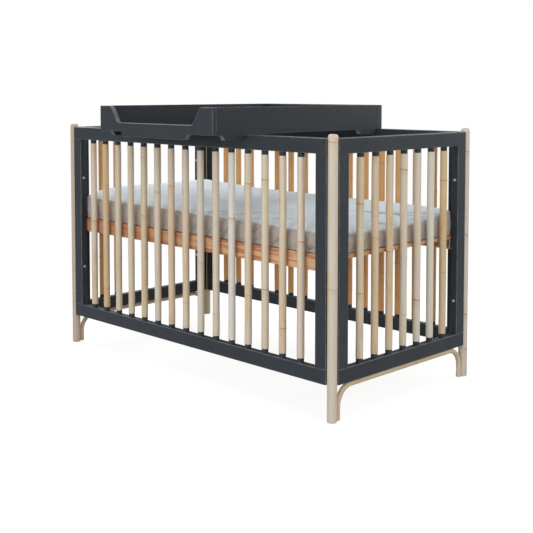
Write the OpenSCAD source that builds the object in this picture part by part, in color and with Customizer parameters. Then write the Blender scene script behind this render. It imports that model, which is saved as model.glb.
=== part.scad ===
// Convertible crib: four cane corner posts bolted to painted panels with cane bars, bent-cane
// braces under the end panels, a slatted base at three heights, a mattress, and a changing
// tray that lies across the top rails.
// The origin is the centre of the crib's footprint on the floor, with X along the crib,
// the front towards -Y and Z up. Sizes are in millimetres.

/* [Frame] */
// Length over the outer faces of the two end panels
frame_l = 1464; // [1300:2:1600]
// Width over the outer faces of the two long panels
frame_w = 768; // [700:4:860]
// Thickness of every rail and stile
panel_t = 28; // [24:1:34]
// Height of the top rail's upper face above the floor
rail_top_z = 912; // [860:4:980]
// Height of the bottom rail's underside above the floor
bottom_rail_z = 118; // [100:2:150]
// Depth of the top rail
top_rail_h = 51; // [44:1:60]
// Depth of the bottom rail
bottom_rail_h = 51; // [44:1:60]
// Width of a stile of a long panel
stile_w = 48.5; // [36:0.5:56]
// Width of a stile of an end panel
end_stile_w = 48.5; // [36:0.5:56]
// Rounding along the edges of rails and stiles
edge_r = 4; // [2:0.5:6]
// Rounding of a rail's end corners, seen from its face
rail_end_r = 6; // [3:0.5:9]

/* [Corner posts] */
// Diameter of a cane post
post_d = 33.4; // [30:0.2:40]
// Height of a post
post_top_z = 925; // [880:1:1010]
// Distance of a post's axis inside the panels' outer faces
post_inset = 14; // [10:0.5:15]
// Depth that a panel's hollowed end wraps round the post
post_seat = 1.5; // [0.5:0.1:2]
// Width of the rounded shoulder at a post's top
shoulder_w = 7.5; // [3:0.5:10]
// Height of the rounded shoulder at a post's top
shoulder_h = 12.5; // [6:0.5:18]
// Rounding of a post's bottom edge
foot_r = 3; // [1:0.5:6]

/* [Cane bars] */
// Bars in each long panel
long_bars = 15; // [12:1:18]
// Bars in each end panel
end_bars = 7; // [5:1:9]
// Distance from a long panel's stile to the middle of its first bar
long_first_bar = 74; // [66:0.5:90]
// Distance from an end panel's stile to the middle of its first bar
end_first_bar = 72; // [66:0.5:84]
// Diameter of a cane bar
bar_d = 25.6; // [18:0.2:27]
// Diameter of the turned tenon at each end of a bar
tenon_d = 15; // [10:0.5:17]
// Length of a tenon inside its rail
tenon_l = 16; // [10:1:24]
// Diameter of the painted collar round a tenon
collar_d = 23.6; // [18:0.2:27]
// Height of a collar
collar_h = 14; // [8:1:24]

/* [Bent braces] */
// Diameter of the bent cane under an end panel
brace_d = 18.5; // [16:0.5:22]
// Radius of its two bends, along the middle of the cane
brace_bend_r = 66; // [40:2:74]
// Gap between a brace's feet and the floor
brace_lift = 1; // [0.5:0.5:6]
// Screws that hold a brace up to the rail
brace_rail_screws = 4; // [2:1:6]
// Height of the screw through each brace leg
brace_leg_screw_z = 28; // [15:1:45]

/* [Panel bolts] */
// Diameter of a panel bolt
bolt_d = 6; // [5:0.5:8]
// Diameter of a bolt's head
bolt_head_d = 11; // [9:0.5:14]
// Height of a bolt's head
bolt_head_h = 3.4; // [2.5:0.1:5]
// Heights of the bolts in the long panels' stiles
long_bolt_z = [329, 700];
// Heights of the bolts in the end panels' stiles
end_bolt_z = [291, 737];
// Diameter of a threaded insert
insert_d = 10; // [9:0.5:12]
// Length of a threaded insert
insert_l = 12; // [8:1:15]
// Diameter of the dowels between stiles and rails
dowel_d = 8; // [6:1:10]
// Length of those dowels
dowel_l = 40; // [24:2:50]
// Distance between the two dowels of a joint
dowel_pitch = 20; // [16:1:24]

/* [Slatted base] */
// Underside of the base's side rails in the top position
base_z = 475; // [440:5:520]
// Drop between one height of the base and the next
base_step = 125; // [90:5:130]
// Depth of a side rail
base_rail_h = 54; // [46:1:64]
// Thickness of a side rail
base_rail_t = 21; // [18:1:24]
// Gap between a side rail and the long panel beside it
base_side_gap = 5; // [3.5:0.5:8]
// Number of slats
slats = 14; // [10:1:18]
// Width of a slat
slat_w = 60; // [40:1:66]
// Thickness of a slat
slat_t = 13; // [10:0.5:16]
// Width and depth of the ledger that the slats lie on
ledger_w = 18; // [14:1:24]
// Distance of a ledger's end inside the base's end
ledger_inset = 16; // [12:1:24]

/* [Base brackets] */
// Thickness of a bracket's steel
bracket_t = 2.5; // [1.5:0.5:3]
// Height of a bracket
bracket_h = 37; // [26:1:44]
// Reach of a bracket across the base's end
bracket_reach = 52; // [46:1:60]
// Length of a bracket's leg along the side rail
bracket_leg = 40; // [30:1:44]
// Running gap between a bracket and the end panel
bracket_gap = 0.3; // [0.2:0.1:0.6]
// Distance of the bracket bolt inside the side rail's inner face
bracket_bolt_in = 7.7; // [7:0.1:9]

/* [Mattress] */
// Gap between the mattress and an end panel
mattress_end_gap = 4; // [3:1:12]
// Gap between the mattress and a long panel
mattress_side_gap = 6; // [3:1:12]
// Height of the mattress at its top seam
mattress_edge_h = 86; // [60:2:110]
// Rise of the crown above the seam
mattress_crown = 38; // [10:2:50]
// Distance over which the crown rises to its flat middle
mattress_crown_run = 150; // [60:5:260]
// Radius of the mattress's corners, seen from above
mattress_corner_r = 34; // [20:2:60]
// How far its sides are drawn in between the corners
mattress_draw = 5; // [0:1:8]
// Distance from its side to where the crown starts
mattress_rim_in = 9; // [7:0.5:14]
// Height of its side's rounding below the top seam
mattress_rim_h = 9; // [4:0.5:14]
// Distance that the underside's rounding reaches in from the side
mattress_foot_in = 16; // [8:1:24]
// Height of the underside's rounding
mattress_foot_h = 9; // [4:0.5:14]
// Radius of the mattress's corners at the middle of the crown
mattress_crown_r = 4; // [2:0.5:10]

/* [Changing tray] */
// Width of the tray, along the crib
tray_w = 634; // [520:2:700]
// Height of the tray's boards above the rails
tray_h = 94; // [80:1:120]
// Thickness of the tray's boards
tray_t = 18; // [15:1:22]
// Place of the tray's middle along the crib
tray_x = 14; // [-300:2:300]
// Overhang of the tray past the front panel
tray_overhang = 149; // [60:0.5:200]
// Distance of the tray's back inside the back panel's outer face
tray_back_inset = 16; // [2:0.5:24]
// Thickness of the tray's floor
tray_floor_t = 6; // [4:0.5:9]
// Height of the floor above the boards' lower edge
tray_floor_up = 8; // [5:1:12]
// Depth of the groove that holds the floor
tray_groove = 6; // [4:0.5:8]
// Width of the hand cut-out at its top
cutout_top_w = 504; // [300:2:520]
// Width of the hand cut-out at its bottom
cutout_low_w = 420; // [200:2:440]
// Height of the board left below the cut-out
cutout_up = 32.4; // [26:0.1:50]
// Rounding of the cut-out's upper corners
cutout_top_r = 22; // [10:1:30]
// Rounding of the cut-out's lower corners
cutout_low_r = 8; // [4:1:14]
// Depth of the tabs below the boards
tab_h = 19; // [10:0.5:24]
// Sideways run of a tab's slanted edge
tab_slope = 13; // [8:1:20]
// Rounding of a tab's lower corners
tab_tip_r = 6; // [3:1:10]
// Rounding in the angle above a tab
tab_root_r = 5; // [3:1:8]
// Rounding of the front and back boards' corners
board_corner_r = 3; // [1:0.5:6]
// Rounding of the side boards' corners at their joints
board_joint_r = 0.5; // [0.3:0.1:1]
// Width of the tab under the front board
front_tab_w = 380; // [200:2:440]
// Length of each tab under a side board
side_tab_w = 104; // [70:2:130]
// Gap between the front tabs and the front rail
front_tab_gap = 1; // [0.5:0.5:4]
// Gap between the back tabs and the back rail
back_tab_gap = 28; // [2:1:40]

/* [Hidden] */

// Colours
paint = "#3b4046";
cane = "#dccba6";
brace_cane = "#d6c39a";
pine = "#cc8b5c";
steel = "#b9bdc2";
cover = "#b9b6b3";

// Panels are numbered by the quarter turns that bring the front panel to their place
FRONT = 0;
RIGHT = 1;
BACK = 2;
LEFT = 3;

// Fits
post_fit = 0.1;
tenon_fit = 0.1;
bolt_fit = 0.2;
thread_fit = 0.05;
insert_fit = 0.1;
dowel_fit = 0.05;
brace_fit = 0.1;
seat_gap = 0.3;
groove_fit = 0.3;
hole_extra = 1;

// Wood screws: shank diameter, head diameter, head height, length
screw_d = 4;
screw_head_d = 8;
screw_head_h = 2.5;
brace_screw_l = 34;
slat_screw_l = 26;
bracket_screw_l = 16;
bracket_screw_head_h = 1.5;
socket_r = 2.3;
socket_deep = 2;

post_r = post_d / 2;
post_x = frame_l / 2 - post_inset;
post_y = frame_w / 2 - post_inset;
post_off = panel_t / 2 - post_inset;
inner_l = frame_l - 2 * panel_t;
inner_w = frame_w - 2 * panel_t;
stile_z = bottom_rail_z + bottom_rail_h;
stile_top = rail_top_z - top_rail_h;
stile_h = stile_top - stile_z;
insert_start = 0.5;
bolt_past_seat = insert_start + insert_l;

brace_r = brace_d / 2;
brace_y = post_y - post_r - brace_fit - brace_r;
brace_z = bottom_rail_z - brace_fit - brace_r;
brace_run = brace_y - brace_bend_r;
brace_screw_margin = 34;

base_l = inner_l - 2 * (bracket_t + bracket_gap);
base_w = inner_w - 2 * base_side_gap;
base_top = base_z + base_rail_h;
base_inner_w = base_w - 2 * base_rail_t;
bracket_z = base_z + base_rail_h / 2;
bracket_bolt_y = base_inner_w / 2 - bracket_bolt_in;
slat_pitch = (base_l - slat_w) / (slats - 1);

mattress_l = inner_l - 2 * mattress_end_gap;
mattress_w = inner_w - 2 * mattress_side_gap;

tray_z = rail_top_z + seat_gap;
tray_front_y = -frame_w / 2 - tray_overhang;
tray_back_y = frame_w / 2 - tray_back_inset;
tray_side_l = tray_back_y - tray_front_y - 2 * tray_t;
tray_mid_y = (tray_front_y + tray_back_y) / 2;
tray_dowel_l = 36;
tray_dowel_in = 11;
tray_dowel_z = [28, 72];

// Half the length of a panel, from its middle to the bottom of its hollowed ends
function half_span(side) = (side % 2 == 0 ? post_x : post_y) - post_r + post_seat;

// Distance from the crib's middle to a panel's middle plane
function panel_dist(side) = (side % 2 == 0 ? frame_w : frame_l) / 2 - panel_t / 2;

function post_along(side) = side % 2 == 0 ? post_x : post_y;
function bar_count(side) = side % 2 == 0 ? long_bars : end_bars;
function stile_width(side) = side % 2 == 0 ? stile_w : end_stile_w;
function first_bar(side) =
    half_span(side) - stile_width(side) - (side % 2 == 0 ? long_first_bar : end_first_bar);
function bar_pitch(side) = 2 * first_bar(side) / (bar_count(side) - 1);
function bar_x(side) = [for (i = [0:bar_count(side) - 1]) i * bar_pitch(side) - first_bar(side)];
function bolt_heights(side) = side % 2 == 0 ? long_bolt_z : end_bolt_z;
function height_levels() = [for (i = [0:2]) bracket_z - i * base_step];

// Points of a polygon with its corners rounded, each by its own radius
function unit(v) = v / norm(v);
function turn(a) = a > 180 ? a - 360 : a < -180 ? a + 360 : a;
function arc_corner(a, b, c, r, n = 5) =
    let (u = unit(a - b),
         v = unit(c - b),
         half = acos(u * v) / 2,
         mid = b + unit(u + v) * r / sin(half),
         s = b + u * r / tan(half) - mid,
         e = b + v * r / tan(half) - mid,
         from = atan2(s[1], s[0]),
         sweep = turn(atan2(e[1], e[0]) - from))
    [for (i = [0:n]) mid + r * [cos(from + sweep * i / n), sin(from + sweep * i / n)]];
function rounded_path(p, r) =
    [for (i = [0:len(p) - 1])
        each arc_corner(p[(i + len(p) - 1) % len(p)], p[i], p[(i + 1) % len(p)], r[i])];

module in_panel(side) {
    rotate([0, 0, 90 * side]) translate([0, -panel_dist(side), 0]) children();
}

module rounded_rect(w, h, r) {
    square([w - 2 * r, h], center = true);
    square([w, h - 2 * r], center = true);
    for (x = [-1, 1], y = [-1, 1])
        translate([x * (w / 2 - r), y * (h / 2 - r)]) circle(r, $fn = 32);
}

module post_hollows(side, z, h) {
    for (s = [-1, 1])
        translate([s * post_along(side), -post_off, z - hole_extra])
            cylinder(r = post_r + post_fit, h = h + 2 * hole_extra, $fn = 64);
}

module stile_dowel_places(side) {
    middle = half_span(side) - stile_width(side) / 2 - post_seat / 2;
    for (s = [-1, 1], z = [stile_z, stile_top], d = [-0.5, 0.5])
        translate([s * middle + d * dowel_pitch, 0, z]) children();
}

module dowel_holes(side) {
    stile_dowel_places(side)
        cylinder(d = dowel_d + 2 * dowel_fit, h = dowel_l + hole_extra, center = true, $fn = 24);
}

module brace_screw_places() {
    step = 2 * (brace_run - brace_screw_margin) / (brace_rail_screws - 1);
    for (i = [0:brace_rail_screws - 1])
        translate([-brace_run + brace_screw_margin + i * step, -post_off, brace_z - brace_r])
            children();
}

// Panels
module rail(side, z, h) {
    span = 2 * half_span(side);
    difference() {
        translate([0, 0, z + h / 2]) intersection() {
            rotate([90, 0, 90]) linear_extrude(span, center = true)
                rounded_rect(panel_t, h, edge_r);
            rotate([90, 0, 0]) linear_extrude(panel_t, center = true)
                rounded_rect(span, h, rail_end_r);
            linear_extrude(h, center = true)
                rounded_rect(span, panel_t, edge_r);
        }
        post_hollows(side, z, h);
        for (x = bar_x(side))
            translate([x, 0, z < stile_z ? stile_z : stile_top])
                cylinder(d = tenon_d + 2 * tenon_fit, h = 2 * (tenon_l + hole_extra),
                         center = true, $fn = 32);
        dowel_holes(side);
        if (side % 2 == 1 && z < stile_z)
            brace_screw_places()
                cylinder(d = screw_d + 2 * thread_fit, h = brace_screw_l + hole_extra, $fn = 24);
    }
}

module stile(side, s) {
    w = stile_width(side);
    middle = s * (half_span(side) - w / 2);
    difference() {
        translate([middle, 0, stile_z])
            linear_extrude(stile_h) rounded_rect(w, panel_t, edge_r);
        post_hollows(side, stile_z, stile_h);
        dowel_holes(side);
        for (z = bolt_heights(side))
            translate([middle, 0, z]) rotate([0, 90, 0])
                cylinder(d = bolt_d + 2 * bolt_fit, h = w + 2 * hole_extra,
                         center = true, $fn = 32);
        if (side % 2 == 1)
            for (z = height_levels())
                translate([s * bracket_bolt_y, panel_t / 2, z]) rotate([90, 0, 0])
                    cylinder(d = insert_d + 2 * insert_fit, h = 2 * (insert_l + hole_extra),
                             center = true, $fn = 32);
    }
}

module bars(side) {
    for (x = bar_x(side)) translate([x, 0, 0]) {
        translate([0, 0, stile_z - tenon_l])
            cylinder(d = tenon_d, h = stile_h + 2 * tenon_l, $fn = 32);
        translate([0, 0, stile_z + collar_h])
            cylinder(d = bar_d, h = stile_h - 2 * collar_h, $fn = 48);
    }
}

module collars(side) {
    for (x = bar_x(side), z = [stile_z, stile_top - collar_h])
        translate([x, 0, z]) difference() {
            cylinder(d = collar_d, h = collar_h, $fn = 48);
            translate([0, 0, -hole_extra])
                cylinder(d = tenon_d + 2 * tenon_fit, h = collar_h + 2 * hole_extra, $fn = 32);
        }
}

// Posts: a turned outline with a rounded shoulder, drilled for the inserts
module post(sx, sy) {
    steps = 6;
    outline = concat(
        [[0, 0]],
        [for (i = [0:3]) [post_r - foot_r * (1 - sin(30 * i)), foot_r * (1 - cos(30 * i))]],
        [for (i = [0:steps]) [post_r - shoulder_w * (1 - cos(90 * i / steps)),
                              post_top_z - shoulder_h * (1 - sin(90 * i / steps))]],
        [[0, post_top_z]]);
    long_end = half_span(FRONT) + bolt_past_seat + hole_extra;
    short_end = half_span(RIGHT) + bolt_past_seat + hole_extra;
    hole_l = bolt_past_seat + 2 * hole_extra + post_seat;
    difference() {
        translate([sx * post_x, sy * post_y, 0])
            rotate_extrude($fn = 64) polygon(outline);
        for (z = long_bolt_z)
            translate([sx * (long_end - hole_l / 2), sy * panel_dist(FRONT), z])
                rotate([0, 90, 0])
                    cylinder(d = insert_d + 2 * insert_fit, h = hole_l, center = true, $fn = 32);
        for (z = end_bolt_z)
            translate([sx * panel_dist(RIGHT), sy * (short_end - hole_l / 2), z])
                rotate([90, 0, 0])
                    cylinder(d = insert_d + 2 * insert_fit, h = hole_l, center = true, $fn = 32);
        translate([sx * post_x, sy * (brace_y + brace_r), brace_leg_screw_z]) rotate([90, 0, 0])
            cylinder(d = screw_d + 2 * thread_fit,
                     h = 2 * (brace_screw_l - brace_d + hole_extra), center = true, $fn = 24);
    }
}

// A length of pipe-like insert with its bore, along +X
module insert() {
    rotate([0, 90, 0]) difference() {
        cylinder(d = insert_d, h = insert_l, $fn = 32);
        translate([0, 0, -hole_extra])
            cylinder(d = bolt_d + 2 * thread_fit, h = insert_l + 2 * hole_extra, $fn = 32);
    }
}

// A button-head bolt along +X, its head behind the origin and a hexagon socket in the head
module bolt(shank_l) {
    rotate([0, 90, 0]) {
        difference() {
            translate([0, 0, -bolt_head_h])
                cylinder(d1 = bolt_head_d - 2 * bolt_head_h / 3, d2 = bolt_head_d,
                         h = bolt_head_h, $fn = 32);
            translate([0, 0, -bolt_head_h - hole_extra])
                cylinder(r = socket_r, h = socket_deep + hole_extra, $fn = 6);
        }
        cylinder(d = bolt_d, h = shank_l, $fn = 32);
    }
}

// A wood screw along +Z, its head above the origin and its shank below it
module wood_screw(l, head_h) {
    translate([0, 0, -l]) cylinder(d = screw_d, h = l, $fn = 24);
    cylinder(d = screw_head_d, h = head_h, $fn = 32);
}

module panel_bolt_places(side) {
    in_panel(side)
        for (s = [0, 1], z = bolt_heights(side))
            translate([0, 0, z]) rotate([0, 0, 180 * s]) children();
}

module panel_bolts() {
    color(steel)
        for (side = [FRONT, RIGHT, BACK, LEFT])
            panel_bolt_places(side)
                translate([half_span(side) - stile_width(side), 0, 0])
                    bolt(stile_width(side) + bolt_past_seat);
}

module post_inserts() {
    color(steel)
        for (side = [FRONT, RIGHT, BACK, LEFT])
            panel_bolt_places(side)
                translate([half_span(side) + insert_start, 0, 0]) insert();
}

module height_inserts() {
    color(steel)
        for (side = [RIGHT, LEFT], s = [-1, 1], z = height_levels())
            in_panel(side)
                translate([s * bracket_bolt_y, panel_t / 2, z]) rotate([0, 0, -90]) insert();
}

module stile_dowels() {
    color(pine)
        for (side = [FRONT, RIGHT, BACK, LEFT])
            in_panel(side) stile_dowel_places(side)
                cylinder(d = dowel_d, h = dowel_l, center = true, $fn = 24);
}

// Braces: legs, two bends and a run, each joint of the same round section
module brace(side) {
    color(brace_cane) in_panel(side) difference() {
        translate([0, -post_off, 0]) {
            translate([0, 0, brace_z]) rotate([0, 90, 0])
                cylinder(r = brace_r, h = 2 * brace_run, center = true, $fn = 48);
            for (s = [0, 1]) rotate([0, 0, 180 * s]) {
                translate([brace_y, 0, brace_lift])
                    cylinder(r = brace_r, h = brace_z - brace_bend_r - brace_lift, $fn = 48);
                translate([brace_run, 0, brace_z - brace_bend_r]) rotate([90, 0, 0])
                    rotate_extrude(angle = 90, $fn = 96)
                        translate([brace_bend_r, 0]) circle(r = brace_r, $fn = 48);
            }
        }
        brace_screw_places() {
            translate([0, 0, -hole_extra])
                cylinder(d = screw_d + 2 * thread_fit, h = brace_d + 2 * hole_extra, $fn = 24);
            translate([0, 0, -hole_extra])
                cylinder(d = screw_head_d + 2 * bolt_fit, h = screw_head_h + hole_extra, $fn = 32);
        }
        for (s = [-1, 1])
            translate([s * (brace_y - brace_r), -post_off, brace_leg_screw_z])
                rotate([0, s * 90, 0]) {
                    translate([0, 0, -hole_extra])
                        cylinder(d = screw_d + 2 * thread_fit, h = brace_d + 2 * hole_extra,
                                 $fn = 24);
                    translate([0, 0, -hole_extra])
                        cylinder(d = screw_head_d + 2 * bolt_fit,
                                 h = screw_head_h + hole_extra, $fn = 32);
                }
    }
}

module brace_screws() {
    color(steel)
        for (side = [RIGHT, LEFT]) in_panel(side) {
            brace_screw_places()
                translate([0, 0, screw_head_h]) mirror([0, 0, 1])
                    wood_screw(brace_screw_l - screw_head_h, screw_head_h);
            for (s = [-1, 1])
                translate([s * (brace_y - brace_r + screw_head_h), -post_off, brace_leg_screw_z])
                    rotate([0, -s * 90, 0])
                        wood_screw(brace_screw_l - screw_head_h, screw_head_h);
        }
}

// Slatted base
module base_rail(s) {
    color(pine)
        translate([0, s * (base_inner_w + base_rail_t) / 2, base_z + base_rail_h / 2])
            intersection() {
                rotate([90, 0, 90]) linear_extrude(base_l, center = true)
                    rounded_rect(base_rail_t, base_rail_h, edge_r / 2);
                cube([base_l, base_rail_t, base_rail_h], center = true);
            }
}

module slat_places() {
    for (i = [0:slats - 1])
        translate([-base_l / 2 + slat_w / 2 + i * slat_pitch, 0, base_top]) children();
}

module base_slats() {
    color(pine) slat_places() difference() {
        translate([0, 0, -slat_t / 2])
            cube([slat_w, base_inner_w - 2 * groove_fit, slat_t], center = true);
        for (s = [-1, 1])
            translate([0, s * (base_inner_w - ledger_w) / 2, 0]) {
                cylinder(d = screw_d + 2 * thread_fit, h = 2 * (slat_t + hole_extra),
                         center = true, $fn = 24);
                cylinder(d = screw_head_d + 2 * bolt_fit, h = 2 * screw_head_h,
                         center = true, $fn = 32);
            }
    }
}

module base_ledgers() {
    color(pine) for (s = [-1, 1]) difference() {
        translate([0, s * (base_inner_w - ledger_w) / 2, base_top - slat_t - ledger_w / 2])
            cube([base_l - 2 * ledger_inset, ledger_w, ledger_w], center = true);
        slat_places()
            translate([0, s * (base_inner_w - ledger_w) / 2, 0])
                cylinder(d = screw_d + 2 * thread_fit, h = 2 * (slat_screw_l + hole_extra),
                         center = true, $fn = 24);
    }
}

module slat_screws() {
    color(steel) slat_places()
        for (s = [-1, 1])
            translate([0, s * (base_inner_w - ledger_w) / 2, -screw_head_h])
                wood_screw(slat_screw_l - screw_head_h, screw_head_h);
}

module bracket_places() {
    for (sx = [0, 1], sy = [0, 1])
        mirror([sx, 0, 0]) mirror([0, sy, 0])
            translate([base_l / 2, base_w / 2, bracket_z]) children();
}

module bracket_screw_places() {
    for (x = [0.35, 0.75])
        translate([-x * bracket_leg, bracket_t, 0]) rotate([-90, 0, 0]) children();
}

module base_brackets() {
    color(steel) bracket_places() difference() {
        translate([-bracket_leg, -bracket_reach, -bracket_h / 2])
            cube([bracket_leg + bracket_t, bracket_reach + bracket_t, bracket_h]);
        translate([-bracket_leg - hole_extra, -bracket_reach - hole_extra,
                   -bracket_h / 2 - hole_extra])
            cube([bracket_leg + hole_extra, bracket_reach + hole_extra,
                  bracket_h + 2 * hole_extra]);
        bracket_screw_places()
            cylinder(d = screw_d + 2 * thread_fit, h = 4 * bracket_t, center = true, $fn = 24);
        translate([0, bracket_bolt_y - base_w / 2, 0]) rotate([0, 90, 0])
            cylinder(d = bolt_d + 2 * bolt_fit, h = 4 * bracket_t, center = true, $fn = 32);
    }
}

module bracket_screws() {
    color(steel) bracket_places() bracket_screw_places()
        wood_screw(bracket_screw_l, bracket_screw_head_h);
}

module base_rail_holes() {
    bracket_places() bracket_screw_places()
        cylinder(d = screw_d + 2 * thread_fit, h = 2 * (bracket_screw_l + hole_extra),
                 center = true, $fn = 24);
}

module base_front_rail() {
    color(pine) difference() {
        base_rail(-1);
        base_rail_holes();
    }
}

module base_back_rail() {
    color(pine) difference() {
        base_rail(1);
        base_rail_holes();
    }
}

module bracket_bolts() {
    color(steel) bracket_places()
        translate([0, bracket_bolt_y - base_w / 2, 0]) bolt(bracket_t);
}

// Mattress: rings of one outline, inset and raised from the underside to the crown
ring_arc = 5;
ring_long = 9;
ring_short = 5;
crown_rings = 8;
function ring_corner(q, a, b, r) =
    let (sx = q == 0 || q == 3 ? 1 : -1,
         sy = q < 2 ? 1 : -1)
    [for (i = [0:ring_arc])
        [sx * (a - r) + r * cos(90 * (q + i / ring_arc)),
         sy * (b - r) + r * sin(90 * (q + i / ring_arc))]];
function between(p, q, n) = [for (i = [1:n - 1]) p + (q - p) * i / n];
function ring_outline(a, b, r) =
    let (arcs = [for (q = [0:3]) ring_corner(q, a, b, r)])
    [for (q = [0:3])
        each concat(arcs[q], between(arcs[q][ring_arc], arcs[(q + 1) % 4][0],
                                     q % 2 == 0 ? ring_long : ring_short))];
function drawn_in(p, z) =
    let (a = mattress_l / 2,
         b = mattress_w / 2)
    [p[0] * (1 - mattress_draw / a * (1 - pow(p[1] / b, 2))),
     p[1] * (1 - mattress_draw / b * (1 - pow(p[0] / a, 2))), z];
function mattress_ring(inset, z) =
    [for (p = ring_outline(mattress_l / 2 - inset, mattress_w / 2 - inset,
                           max(mattress_corner_r - inset, mattress_crown_r))) drawn_in(p, z)];
function crown_ring(t) =
    mattress_ring(mattress_rim_in + t * mattress_crown_run,
                  mattress_edge_h + mattress_crown * sin(90 * t));

module mattress() {
    rings = concat(
        [for (s = [[mattress_foot_in, 0], [0.44 * mattress_foot_in, 0.22 * mattress_foot_h],
                   [0.13 * mattress_foot_in, mattress_foot_h],
                   [0, 0.35 * mattress_edge_h], [0, 0.62 * mattress_edge_h],
                   [0.28 * mattress_rim_in, mattress_edge_h - mattress_rim_h],
                   [0.67 * mattress_rim_in, mattress_edge_h - 0.22 * mattress_rim_h]])
            mattress_ring(s[0], s[1])],
        [for (k = [0:crown_rings]) crown_ring(k / crown_rings)]);
    n = len(rings[0]);
    last = (len(rings) - 1) * n;
    points = [for (ring = rings) each ring];
    sides = [for (k = [0:len(rings) - 2], i = [0:n - 1])
        let (a = k * n + i,
             b = k * n + (i + 1) % n)
        each [[a, a + n, b], [b, a + n, b + n]]];
    caps = concat([for (i = [1:n - 2]) [0, i, i + 1]],
                  [for (i = [1:n - 2]) [last, last + i + 1, last + i]]);
    color(cover) translate([0, 0, base_top + seat_gap])
        polyhedron(points, concat(sides, caps), convexity = 4);
}

// Changing tray
module tray_outline(points, radii) {
    rotate([90, 0, 0]) linear_extrude(tray_t, center = true)
        polygon(rounded_path(points, radii));
}

module tray_floor() {
    color(paint)
        translate([tray_x, tray_mid_y, tray_z + tray_floor_up + tray_floor_t / 2])
            cube([tray_w - 2 * (tray_t - tray_groove + groove_fit),
                  tray_side_l + 2 * (tray_groove - groove_fit), tray_floor_t], center = true);
}

module tray_groove_cut() {
    translate([tray_x, tray_mid_y, tray_z + tray_floor_up + tray_floor_t / 2])
        cube([tray_w - 2 * (tray_t - tray_groove), tray_side_l + 2 * tray_groove,
              tray_floor_t + 2 * groove_fit], center = true);
}

module tray_dowel_places() {
    for (sx = [-1, 1], y = [tray_front_y + tray_t, tray_back_y - tray_t], z = tray_dowel_z)
        translate([tray_x + sx * (tray_w - tray_t) / 2,
                   y + sign(y - tray_mid_y) * (tray_dowel_in - tray_dowel_l / 2), tray_z + z])
            rotate([90, 0, 0]) children();
}

module tray_dowel_holes() {
    tray_dowel_places()
        cylinder(d = dowel_d + 2 * dowel_fit, h = tray_dowel_l + hole_extra, center = true,
                 $fn = 24);
}

module tray_front_board() {
    w = tray_w / 2;
    tab = front_tab_w / 2;
    top = cutout_top_w / 2;
    low = cutout_low_w / 2;
    top_r = min(cutout_top_r, w - top);
    color(paint) difference() {
        translate([tray_x, tray_front_y + tray_t / 2, tray_z])
            tray_outline(
                [[-w, 0], [-tab, 0], [-tab + tab_slope, -tab_h], [tab - tab_slope, -tab_h],
                 [tab, 0], [w, 0], [w, tray_h], [top, tray_h], [low, cutout_up],
                 [-low, cutout_up], [-top, tray_h], [-w, tray_h]],
                [board_corner_r, tab_root_r, tab_tip_r, tab_tip_r, tab_root_r, board_corner_r,
                 board_corner_r, top_r, cutout_low_r, cutout_low_r, top_r, board_corner_r]);
        tray_groove_cut();
        tray_dowel_holes();
    }
}

module tray_back_board() {
    w = tray_w / 2;
    color(paint) difference() {
        translate([tray_x, tray_back_y - tray_t / 2, tray_z])
            tray_outline([[-w, 0], [w, 0], [w, tray_h], [-w, tray_h]],
                         [board_corner_r, board_corner_r, board_corner_r, board_corner_r]);
        tray_groove_cut();
        tray_dowel_holes();
    }
}

module tray_side_board(s) {
    from = tray_front_y + tray_t;
    to = tray_back_y - tray_t;
    hook_end = -frame_w / 2 - front_tab_gap;
    hook = hook_end - side_tab_w;
    stop_end = inner_w / 2 - back_tab_gap;
    stop = stop_end - side_tab_w;
    color(paint) difference() {
        translate([tray_x + s * (tray_w - tray_t) / 2, 0, tray_z]) rotate([0, 0, 90])
            tray_outline(
                [[from, 0], [hook, 0], [hook + tab_slope, -tab_h],
                 [hook_end - tab_slope, -tab_h], [hook_end, 0], [stop, 0],
                 [stop + tab_slope, -tab_h], [stop_end - tab_slope, -tab_h], [stop_end, 0],
                 [to, 0], [to, tray_h], [from, tray_h]],
                [board_joint_r, tab_root_r, tab_tip_r, tab_tip_r, tab_root_r, tab_root_r,
                 tab_tip_r, tab_tip_r, tab_root_r, board_joint_r, board_joint_r, board_joint_r]);
        tray_groove_cut();
        tray_dowel_holes();
    }
}

module tray_dowels() {
    color(pine) tray_dowel_places()
        cylinder(d = dowel_d, h = tray_dowel_l, center = true, $fn = 24);
}

module post_left_front() { color(cane) post(-1, -1); }
module post_right_front() { color(cane) post(1, -1); }
module post_left_back() { color(cane) post(-1, 1); }
module post_right_back() { color(cane) post(1, 1); }
module top_rail(side) { color(paint) in_panel(side) rail(side, stile_top, top_rail_h); }
module bottom_rail(side) { color(paint) in_panel(side) rail(side, bottom_rail_z, bottom_rail_h); }
module painted_stile(side, s) { color(paint) in_panel(side) stile(side, s); }
module cane_bars(side) { color(cane) in_panel(side) bars(side); }
module painted_collars(side) { color(paint) in_panel(side) collars(side); }

post_left_front();
post_right_front();
post_left_back();
post_right_back();
top_rail(FRONT);  // front_top_rail
bottom_rail(FRONT);  // front_bottom_rail
painted_stile(FRONT, -1);  // front_left_stile
painted_stile(FRONT, 1);  // front_right_stile
cane_bars(FRONT);  // front_bars
painted_collars(FRONT);  // front_collars
top_rail(BACK);  // back_top_rail
bottom_rail(BACK);  // back_bottom_rail
painted_stile(BACK, 1);  // back_left_stile
painted_stile(BACK, -1);  // back_right_stile
cane_bars(BACK);  // back_bars
painted_collars(BACK);  // back_collars
top_rail(LEFT);  // left_top_rail
bottom_rail(LEFT);  // left_bottom_rail
painted_stile(LEFT, 1);  // left_front_stile
painted_stile(LEFT, -1);  // left_back_stile
cane_bars(LEFT);  // left_bars
painted_collars(LEFT);  // left_collars
top_rail(RIGHT);  // right_top_rail
bottom_rail(RIGHT);  // right_bottom_rail
painted_stile(RIGHT, -1);  // right_front_stile
painted_stile(RIGHT, 1);  // right_back_stile
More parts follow.
